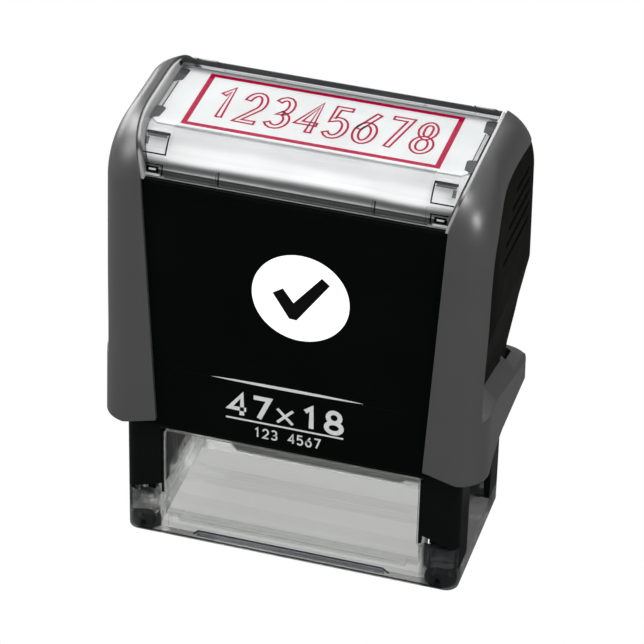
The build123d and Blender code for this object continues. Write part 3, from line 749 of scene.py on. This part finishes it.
# painted glint on the cover and beside the card
GLINT = ink("cover_painted_glint", grey(0.42), rough=0.25)
RIB_HIGHLIGHT_MATERIAL = thin_clear("cover_rib_painted_highlight", tint=grey(1.0), edge=grey(0.9), gloss=0.10, rough=0.3)

# right-hand corner marks, painted shadow lines, painted shade and painted glints: name,
# material, thickness mm, lines as (points, width mm)
SEAT_MARKS = (
    ("line", SHADOW_LINE, 0.05, (
        (((26.9, 30), (22.9, 30), (22.9, 58)), 0.26),
        (((26.9, 56.5), (22.9, 56.5)), 0.5),
        (((26.2, 16.5), (23.2, 16.5), (23.2, 3.0)), 0.22),
        (((25.8, 12.5), (24.0, 12.5), (24.0, 7.2), (25.8, 7.2), (25.8, 12.5)), 0.34))),
    ("grey", SHADE_GREY, 0.04, (
        (((26.7, 53.0), (23.2, 53.0)), 0.55),
        (((26.5, 40.0), (26.5, 50.0)), 0.6))),
    ("glint", GLINT, 0.06, (
        (((26.0, 61.0), (23.4, 61.0)), 0.42),
        (((25.5, 9.9), (24.3, 9.9)), 0.35),
        (((26.2, 2.6), (23.6, 2.6)), 0.42))),
)
# painted highlight and painted shade along each rib, and a painted shade line low on the nose
RIB_X = (-13.5, 13.5)
RIB_HIGHLIGHTS = [(((x - 0.35, 2), (x - 0.35, 22)), 0.35) for x in RIB_X]
RIB_SHADES = [(((x + 0.15, 2), (x + 0.15, 20)), 0.3) for x in RIB_X]
RIB_SHADES.append((((-22.8, 1.2), (22.8, 1.2)), 0.28))
ROLL_SHADE = [(((-22.6, 70), (22.6, 70)), 0.8)]


def on_nose(face):
    """x in metres, y an angle in degrees from the vertical face"""
    def place(x, angle, height):
        turn = math.radians(angle)
        radius = (NOSE_RADIUS + NOSE_LIFT) * MM + height
        return (x, face * (NOSE_Y * MM + radius * math.cos(turn)),
                NOSE_Z * MM + radius * math.sin(turn))
    return place


def nose_line(drawing, points, width):
    """ribbon laid out in mm of surface, then turned into (metres, degrees)"""
    fine = []
    for (x0, a0), (x1, a1) in zip(points[:-1], points[1:]):
        steps = max(1, int(abs(a1 - a0) / 4))
        for i in range(steps):
            fine.append((x0 + (x1 - x0) * i / steps,
                         (a0 + (a1 - a0) * i / steps) / DEGREES_PER_MM))
    closed = points[0] == points[-1]
    if not closed:
        fine.append((points[-1][0], points[-1][1] / DEGREES_PER_MM))
    earlier = set(drawing.verts)
    ribbon(drawing, fine, width, closed=closed)
    for vertex in drawing.verts:
        if vertex not in earlier:
            vertex.co.y *= DEGREES_PER_MM
            vertex.co.x *= MM


def nose_marks(name, material, thick, lines, face, side=1):
    drawing = bmesh.new()
    for points, width in lines:
        nose_line(drawing, [(side * x, angle) for x, angle in points], width)
    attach(raise_drawing(drawing, name, material, thick * MM, on_nose(face)), "cover")


for face_sign, face_name in FACES:
    face_tag = face_name[0]
    for side_sign, side_name in SIDES:
        for kind, mark_material, mark_thick, mark_lines in SEAT_MARKS:
            nose_marks("cover_seat_" + kind + "_" + face_tag + side_name[0], mark_material,
                       mark_thick, mark_lines, face_sign, side_sign)
    nose_marks("cover_rib_highlight_" + face_tag, RIB_HIGHLIGHT_MATERIAL, 0.04, RIB_HIGHLIGHTS, face_sign)
    nose_marks("cover_rib_shade_" + face_tag, SHADE_GREY, 0.04, RIB_SHADES, face_sign)
    # soft shade where the flat top rolls over
    soft_shade = thin_clear("cover_soft_shade_" + face_tag, tint=(0.90, 0.905, 0.91),
                            edge=grey(0.8), gloss=0.01)
    nose_marks("cover_roll_shade_" + face_tag, soft_shade, 0.03, ROLL_SHADE, face_sign)

# ------------------------------------------------------------------ clear foot details
# painted highlight along the window edge
WINDOW_EDGE_HIGHLIGHT = ink("window_edge_painted_highlight", (0.15, 0.155, 0.155), rough=0.25)
LEDGE_GREY = thin_clear("ledge_grey", tint=(0.66, 0.67, 0.70), edge=(0.50, 0.50, 0.51),
                        gloss=0.03)
# painted shade darkens the clear boss rings
BOSS_SHADE = thin_clear("boss_painted_shade", tint=(0.34, 0.345, 0.35), edge=grey(0.10), gloss=0.04)

BOSS_X, BOSS_Y = 27.2, 12.7    # mm
BOSS_SEGMENTS = 40
# boss ring section: (radius, z) in mm
BOSS_SECTION = ((2.05, 0.35), (2.75, 0.35), (2.80, 0.50), (2.72, 2.10), (2.60, 2.25),
                (2.12, 2.25), (2.02, 2.10))


def boss_ring(side, face, tag):
    vertices, faces = [], []
    for i in range(BOSS_SEGMENTS):
        angle = 2 * math.pi * i / BOSS_SEGMENTS
        for radius, z in BOSS_SECTION:
            vertices.append(((BOSS_X * side + radius * math.cos(angle)) * MM,
                             (BOSS_Y * face + radius * math.sin(angle)) * MM, z * MM))
    count = len(BOSS_SECTION)
    for i in range(BOSS_SEGMENTS):
        here, there = i * count, (i + 1) % BOSS_SEGMENTS * count
        for k in range(count):
            after = (k + 1) % count
            faces.append((here + k, there + k, there + after, here + after))
    ring = mesh_object("foot_boss_ring_" + tag, vertices, faces, BOSS_SHADE, smooth=True)
    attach(ring, "base")


# side lip section: (x, y) in mm, at the right rear
SIDE_LIP_SECTION = ((23.33, 15.20), (23.42, 15.30), (23.78, 15.30), (23.87, 15.20),
                    (23.87, 14.45), (23.78, 14.35), (23.42, 14.35), (23.33, 14.45))
SIDE_LIP_HEIGHTS = (9.2, 15.0, 22.6)    # mm


def window_side_lip(side, face, tag):
    """slim black lip closing the slot between a window wall and a leg"""
    vertices = [(side * x * MM, face * y * MM, z * MM) for z in SIDE_LIP_HEIGHTS
                for x, y in SIDE_LIP_SECTION]
    count = len(SIDE_LIP_SECTION)
    faces = [(a * count + i, a * count + (i + 1) % count, (a + 1) * count + (i + 1) % count,
              (a + 1) * count + i) for a in range(2) for i in range(count)]
    faces.append(tuple(range(count))[::-1])
    faces.append(tuple(2 * count + i for i in range(count)))
    if side * face < 0:
        # a single mirroring turns the faces inside out
        faces = [corners[::-1] for corners in faces]
    lip = mesh_object("window_side_lip_" + tag, vertices, faces, FRAME_BLACK)
    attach(lip, "base")


BASE_FACE_Y = 15.4 * MM
WINDOW_HALF_X, WINDOW_TOP, WINDOW_BOTTOM = 23.15, 23.05, 9.0    # mm
WINDOW_CORNER = 0.9                                             # mm, corner radius
window_corner = [(WINDOW_HALF_X - WINDOW_CORNER + WINDOW_CORNER * math.cos(math.radians(a)),
                  WINDOW_TOP - WINDOW_CORNER + WINDOW_CORNER * math.sin(math.radians(a)))
                 for a in range(0, 91, 15)]
window_outline = [(WINDOW_HALF_X, WINDOW_BOTTOM), *window_corner,
                  *[(-x, z) for x, z in window_corner[::-1]], (-WINDOW_HALF_X, WINDOW_BOTTOM)]

# name, material, thickness mm, lines as (points (x, z) mm, width mm)
BASE_MARKS = (
    ("window_edge_glint_", WINDOW_EDGE_HIGHLIGHT, 0.03, ((window_outline, 0.14),)),
    ("foot_edge_shadow_", SHADOW_LINE, 0.03, (
        (((-28.2, 0.42), (28.2, 0.42)), 0.30),
        (((-17.8, 1.25), (-16.9, 2.15), (17.2, 2.15), (18.4, 1.25)), 0.34))),
    ("foot_ledge_grey_", LEDGE_GREY, 0.02, ((((-17.2, 1.45), (17.6, 1.45)), 1.05),)),
)

for piece in (boss_ring, window_side_lip):
    for side_sign, side_name in SIDES:
        for face_sign, face_name in FACES:
            piece(side_sign, face_sign, side_name + "_" + face_name)
for face_sign, face_name in FACES:
    for kind, mark_material, mark_thick, mark_lines in BASE_MARKS:
        base_drawing = bmesh.new()
        for mark_points, mark_width in mark_lines:
            ribbon(base_drawing, in_metres(mark_points), mark_width * MM)
        base_mark = raise_drawing(base_drawing, kind + face_name, mark_material,
                                  mark_thick * MM, on_face(face_sign, BASE_FACE_Y))
        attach(base_mark, "base")

# ------------------------------------------------------------------ patches beside the card
NOTCH_GREY = moulded("cover_notch_grey", base=(0.055, 0.056, 0.058), tone_spread=0.2,
                     rough=0.4, rough_spread=0.05, specular=0.2, grain=900, bump=0.1)
PATCH_Z = 82.22 * MM


def box_outline(outer, inner, front, rear):
    return ((outer, front), (inner, front), (inner, rear), (outer, rear))


# right-hand patches: name, material, thickness mm, outlines (x, y) in mm
# card_side_glint is a painted glint and card_side_shadow a painted shadow
CARD_PATCHES = (
    ("card_notch_", NOTCH_GREY, 0.05,
     [((28.0, front), (26.5, front + 0.7), (26.2, rear - 0.4), (26.6, rear), (28.0, rear))
      for front, rear in ((-8.3, -4.4), (4.2, 8.6))]),
    ("card_side_bar_", GLINT, 0.06, [box_outline(27.75, 27.15, -4.2, 4.0)]),
    ("card_side_shadow_", BLACK_PRINT_AND_SHADOW, 0.05, [box_outline(27.12, 26.98, -4.6, 4.4)]),
)
for side_sign, side_name in SIDES:
    for kind, patch_material, patch_thick, outlines in CARD_PATCHES:
        patch_drawing = bmesh.new()
        for outline in outlines:
            patch_drawing.faces.new([patch_drawing.verts.new((side_sign * x * MM, y * MM,
                                                              PATCH_Z)) for x, y in outline])
        patch = raise_drawing(patch_drawing, kind + side_name, patch_material,
                              patch_thick * MM)
        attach(patch, "cover")

# ------------------------------------------------------------------ springs
SPRING_X = 13.0                                            # mm either side of the centre
SPRING_BOTTOM, SPRING_TOP = 44.05 * MM, 77.95 * MM
COIL_RADIUS, WIRE_RADIUS = 3.6 * MM, 0.44 * MM
COIL_TURNS, STEPS_PER_TURN, WIRE_SIDES = 8, 26, 10
END_SHARE, END_RISE = 0.12, 0.035    # closed end coils: share of the turns, of the height


def coil_rise(t):
    """height share along the wire: closed end coils, open working coils"""
    if t < END_SHARE:
        return t / END_SHARE * END_RISE
    if t > 1 - END_SHARE:
        return 1 - (1 - t) / END_SHARE * END_RISE
    return END_RISE + (t - END_SHARE) / (1 - 2 * END_SHARE) * (1 - 2 * END_RISE)


def coil(name, x):
    steps = COIL_TURNS * STEPS_PER_TURN
    height = SPRING_TOP - SPRING_BOTTOM - 2 * WIRE_RADIUS
    path = []
    for i in range(steps + 1):
        t = i / steps
        angle = 2 * math.pi * COIL_TURNS * t
        path.append(Vector((x + COIL_RADIUS * math.cos(angle), COIL_RADIUS * math.sin(angle),
                            SPRING_BOTTOM + WIRE_RADIUS + height * coil_rise(t))))
    vertices, faces = [], []
    for i, point in enumerate(path):
        along = (path[min(i + 1, steps)] - path[max(i - 1, 0)]).normalized()
        outward = Vector((point.x - x, point.y, 0)).normalized()
        across = along.cross(outward).normalized()
        for k in range(WIRE_SIDES):
            angle = 2 * math.pi * k / WIRE_SIDES
            vertices.append(point + WIRE_RADIUS * (outward * math.cos(angle)
                                                   + across * math.sin(angle)))
    for i in range(steps):
        for k in range(WIRE_SIDES):
            here, beside = i * WIRE_SIDES + k, i * WIRE_SIDES + (k + 1) % WIRE_SIDES
            faces.append((here, beside, beside + WIRE_SIDES, here + WIRE_SIDES))
    faces.append(tuple(range(WIRE_SIDES - 1, -1, -1)))
    faces.append(tuple(steps * WIRE_SIDES + k for k in range(WIRE_SIDES)))
    return mesh_object(name, vertices, faces, SPRING_STEEL, smooth=True)


for side_sign, side_name in SIDES:
    spring_x = side_sign * SPRING_X * MM
    spring = coil("coil_" + side_name, spring_x)
    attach(spring, "base")
    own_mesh(spring)
    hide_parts("spring_" + side_name)


# ------------------------------------------------------------------ soft parts
def scatter(i, j, k):
    """repeatable scatter from -0.5 to 0.5"""
    value = math.sin(i * 12.9898 + j * 78.233 + k * 37.719) * 43758.5453
    return value - math.floor(value) - 0.5


def soft_block(name, half_x, half_y, bottom, top, edge, material, bulge=0.0, crown=0.0, nz=6):
    """block in mm: rounded edges, sides that swell by bulge, faces that rise by crown"""
    nx, ny = 44, 18
    middle, half_z = (bottom + top) / 2, (top - bottom) / 2
    index, vertices, faces = {}, [], []

    def vert(i, j, k):
        key = (i, j, k)
        if key in index:
            return index[key]
        x, y, z = 2 * i / nx - 1, 2 * j / ny - 1, 2 * k / nz - 1
        point = Vector((x * half_x, y * half_y, z * half_z))
        core = Vector([max(-half + edge, min(half - edge, value))
                       for half, value in zip((half_x, half_y, half_z), point)])
        outward = point - core
        if outward.length > 1e-9:
            outward = outward.normalized() * edge
        point = core + outward
        waist = 1 - z * z
        point.x += bulge * waist * x * abs(x) ** 6
        point.y += bulge * waist * y * abs(y) ** 6
        inner = (1 - x * x) * (1 - y * y)
        point.z += z * (crown * inner + 0.02 * scatter(i, j, k))
        index[key] = len(vertices)
        vertices.append((point.x * MM, point.y * MM, (middle + point.z) * MM))
        return index[key]

    def quad(*keys):
        faces.append(tuple(vert(*key) for key in keys))

    for i in range(nx):
        for j in range(ny):
            quad((i, j, 0), (i, j + 1, 0), (i + 1, j + 1, 0), (i + 1, j, 0))
            quad((i, j, nz), (i + 1, j, nz), (i + 1, j + 1, nz), (i, j + 1, nz))
    for i in range(nx):
        for k in range(nz):
            quad((i, 0, k), (i + 1, 0, k), (i + 1, 0, k + 1), (i, 0, k + 1))
            quad((i, ny, k), (i, ny, k + 1), (i + 1, ny, k + 1), (i + 1, ny, k))
    for j in range(ny):
        for k in range(nz):
            quad((0, j, k), (0, j, k + 1), (0, j + 1, k + 1), (0, j + 1, k))
            quad((nx, j, k), (nx, j + 1, k), (nx, j + 1, k + 1), (nx, j, k + 1))
    return mesh_object(name, vertices, faces, material, smooth=True)


felt = soft_block("felt_pad", half_x=24.1, half_y=9.95, bottom=34.52, top=38.45, edge=0.5,
                  crown=0.04, material=FELT)
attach(felt, "base")
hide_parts("ink_pad")
cushion = soft_block("foam_cushion", half_x=23.4, half_y=8.9, bottom=31.62, top=32.6,
                     edge=0.25, bulge=0.12, material=FOAM, nz=4)
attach(cushion, "die")
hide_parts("cushion")

# printing face: slab, raised frame and mirrored digits
RELIEF_LINE = 0.75 * MM
RELIEF_BASE_Y = -4.6 * MM
slab = soft_block("text_rubber_slab", half_x=23.5, half_y=9.0, bottom=32.61, top=33.42,
                  edge=0.18, material=TEXT_RUBBER, nz=3)
relief_drawing = bmesh.new()
text_frame(relief_drawing, bar=0.8 * MM)
for stroke_points in text_strokes(-1, RELIEF_BASE_Y):
    draw_stroke(relief_drawing, stroke_points, RELIEF_LINE)
relief = raise_drawing(relief_drawing, "text_rubber_relief", TEXT_RUBBER, 0.62 * MM)
relief.location = (0, 0, 33.38 * MM)
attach(relief, "die")
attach(slab, "die")
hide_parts("text_plate")


# ------------------------------------------------------------------ floor
def floor_material():
    """white to the camera, dark in reflections, softened through the clear plastic"""
    material, graph = new_material("floor_pale")
    rays = graph.add("LightPath").outputs
    reflected = graph.calc("SUBTRACT", rays["Is Glossy Ray"], rays["Is Transmission Ray"],
                           clamp=True)
    pale = graph.ramp(graph.noise(graph.coords(), scale=3.0, detail=2),
                      [(0.3, (0.66, 0.66, 0.655)), (0.7, (0.70, 0.70, 0.695))])
    matte = graph.principled({
        "Base Color": graph.mix_color(reflected, pale, (*grey(0.10), 1)),
        "Roughness": 0.9,
        "Specular IOR Level": 0.1})
    # glow strength: 1 to the camera, 0.55 through clear plastic
    strength = graph.calc("MULTIPLY_ADD", rays["Is Transmission Ray"], -0.45, 1.0)
    glow = graph.add("Emission", {"Color": (1, 1, 1, 1), "Strength": strength}).outputs[0]
    # glow share: all for camera rays, 0.8 for transmission rays
    share = graph.calc("MULTIPLY_ADD", rays["Is Transmission Ray"], 0.80,
                       rays["Is Camera Ray"], clamp=True)
    graph.finish(graph.mix_shader(share, matte, glow))
    return material


floor_grid = bmesh.new()
bmesh.ops.create_grid(floor_grid, x_segments=8, y_segments=8, size=3.0)
floor_mesh = bpy.data.meshes.new("floor")
floor_grid.to_mesh(floor_mesh)
floor_grid.free()
floor = link_object("floor", floor_mesh)
floor.location = (0, 0, -0.00002)    # just clear of the feet
floor_mesh.materials.append(floor_material())


# ------------------------------------------------------------------ world and lights
def studio_world():
    """white backdrop; as a light, brighter overhead and toward the left"""
    world = bpy.data.worlds.new("studio")
    scene.world = world
    world.use_nodes = True
    graph = Graph(world.node_tree)
    x, _, z = graph.split(graph.add("TexCoord").outputs["Generated"])
    overhead = graph.remap(z, span=(0.05, 0.75), to=(0.10, 0.62))
    leftward = graph.remap(x, span=(-0.9, 0.2), to=(0.38, 0.0))
    light = graph.calc("ADD", overhead, leftward)
    camera_ray = graph.add("LightPath").outputs["Is Camera Ray"]
    background = world.node_tree.nodes["Background"]
    graph.feed(background.inputs["Color"], (1, 1, 1, 1))
    graph.feed(background.inputs["Strength"], graph.maximum(light, camera_ray))


def aim(location, target):
    return (Vector(target) - Vector(location)).to_track_quat("-Z", "Y").to_euler()


def area_light(name, location, size, power, target=(0, 0, 0.05), size_y=None):
    light = bpy.data.lights.new(name, "AREA")
    light.energy = power
    light.color = (1, 1, 1)
    light.shape = "RECTANGLE"
    light.size = size
    light.size_y = size_y or size
    lamp = link_object(name, light)
    lamp.location = location
    lamp.rotation_euler = aim(location, target)


studio_world()
area_light("key", location=(0.25, -0.35, 0.62), size=0.30, power=3.2)
area_light("top", location=(-0.15, 0.15, 0.75), size=0.55, power=4.3)
area_light("left", location=(-0.55, -0.25, 0.35), size=0.35, power=1.4)
area_light("left_high", location=(-0.50, 0.14, 0.46), target=(-0.03, 0, 0.08), size=0.30,
           power=2.3)
area_light("left_rear", location=(-0.60, 0.46, 0.16), target=(-0.02, 0, 0.075), size=0.45,
           size_y=0.30, power=2.0)
area_light("glint", location=(0.53, -0.34, 0.19), target=(0.031, -0.015, 0.077), size=0.09,
           power=1.10)

# ------------------------------------------------------------------ camera
AZIMUTH = math.radians(15.91)      # from straight ahead toward the right
ELEVATION = math.radians(34.77)
ROLL = math.radians(1.42)
CAMERA_TARGET = Vector((0, 0, 0.035))
CAMERA_DISTANCE = 0.635
SHIFT_RIGHT, SHIFT_UP = 0.00073, 0.00491    # sideways moves in the camera's own plane
FOCAL_LENGTH = 202.52795031                 # mm, on a 36 mm wide sensor


def place_camera():
    back = Vector((math.sin(AZIMUTH) * math.cos(ELEVATION),
                   -math.cos(AZIMUTH) * math.cos(ELEVATION), math.sin(ELEVATION)))
    level_right = Vector((math.cos(AZIMUTH), math.sin(AZIMUTH), 0))
    level_up = back.cross(level_right)
    right = math.cos(ROLL) * level_right + math.sin(ROLL) * level_up
    up = -math.sin(ROLL) * level_right + math.cos(ROLL) * level_up
    spot = CAMERA_TARGET + back * CAMERA_DISTANCE + right * SHIFT_RIGHT + up * SHIFT_UP
    lens = bpy.data.cameras.new("camera")
    lens.sensor_width = 36.0
    lens.sensor_fit = "HORIZONTAL"
    lens.lens = FOCAL_LENGTH
    lens.clip_start = 0.01
    lens.clip_end = 20
    camera = link_object("camera", lens)
    columns = zip(right, up, back, spot)
    camera.matrix_world = Matrix((*columns, (0, 0, 0, 1)))
    scene.camera = camera


place_camera()
scene.view_settings.view_transform = "Standard"
scene.view_settings.look = "None"
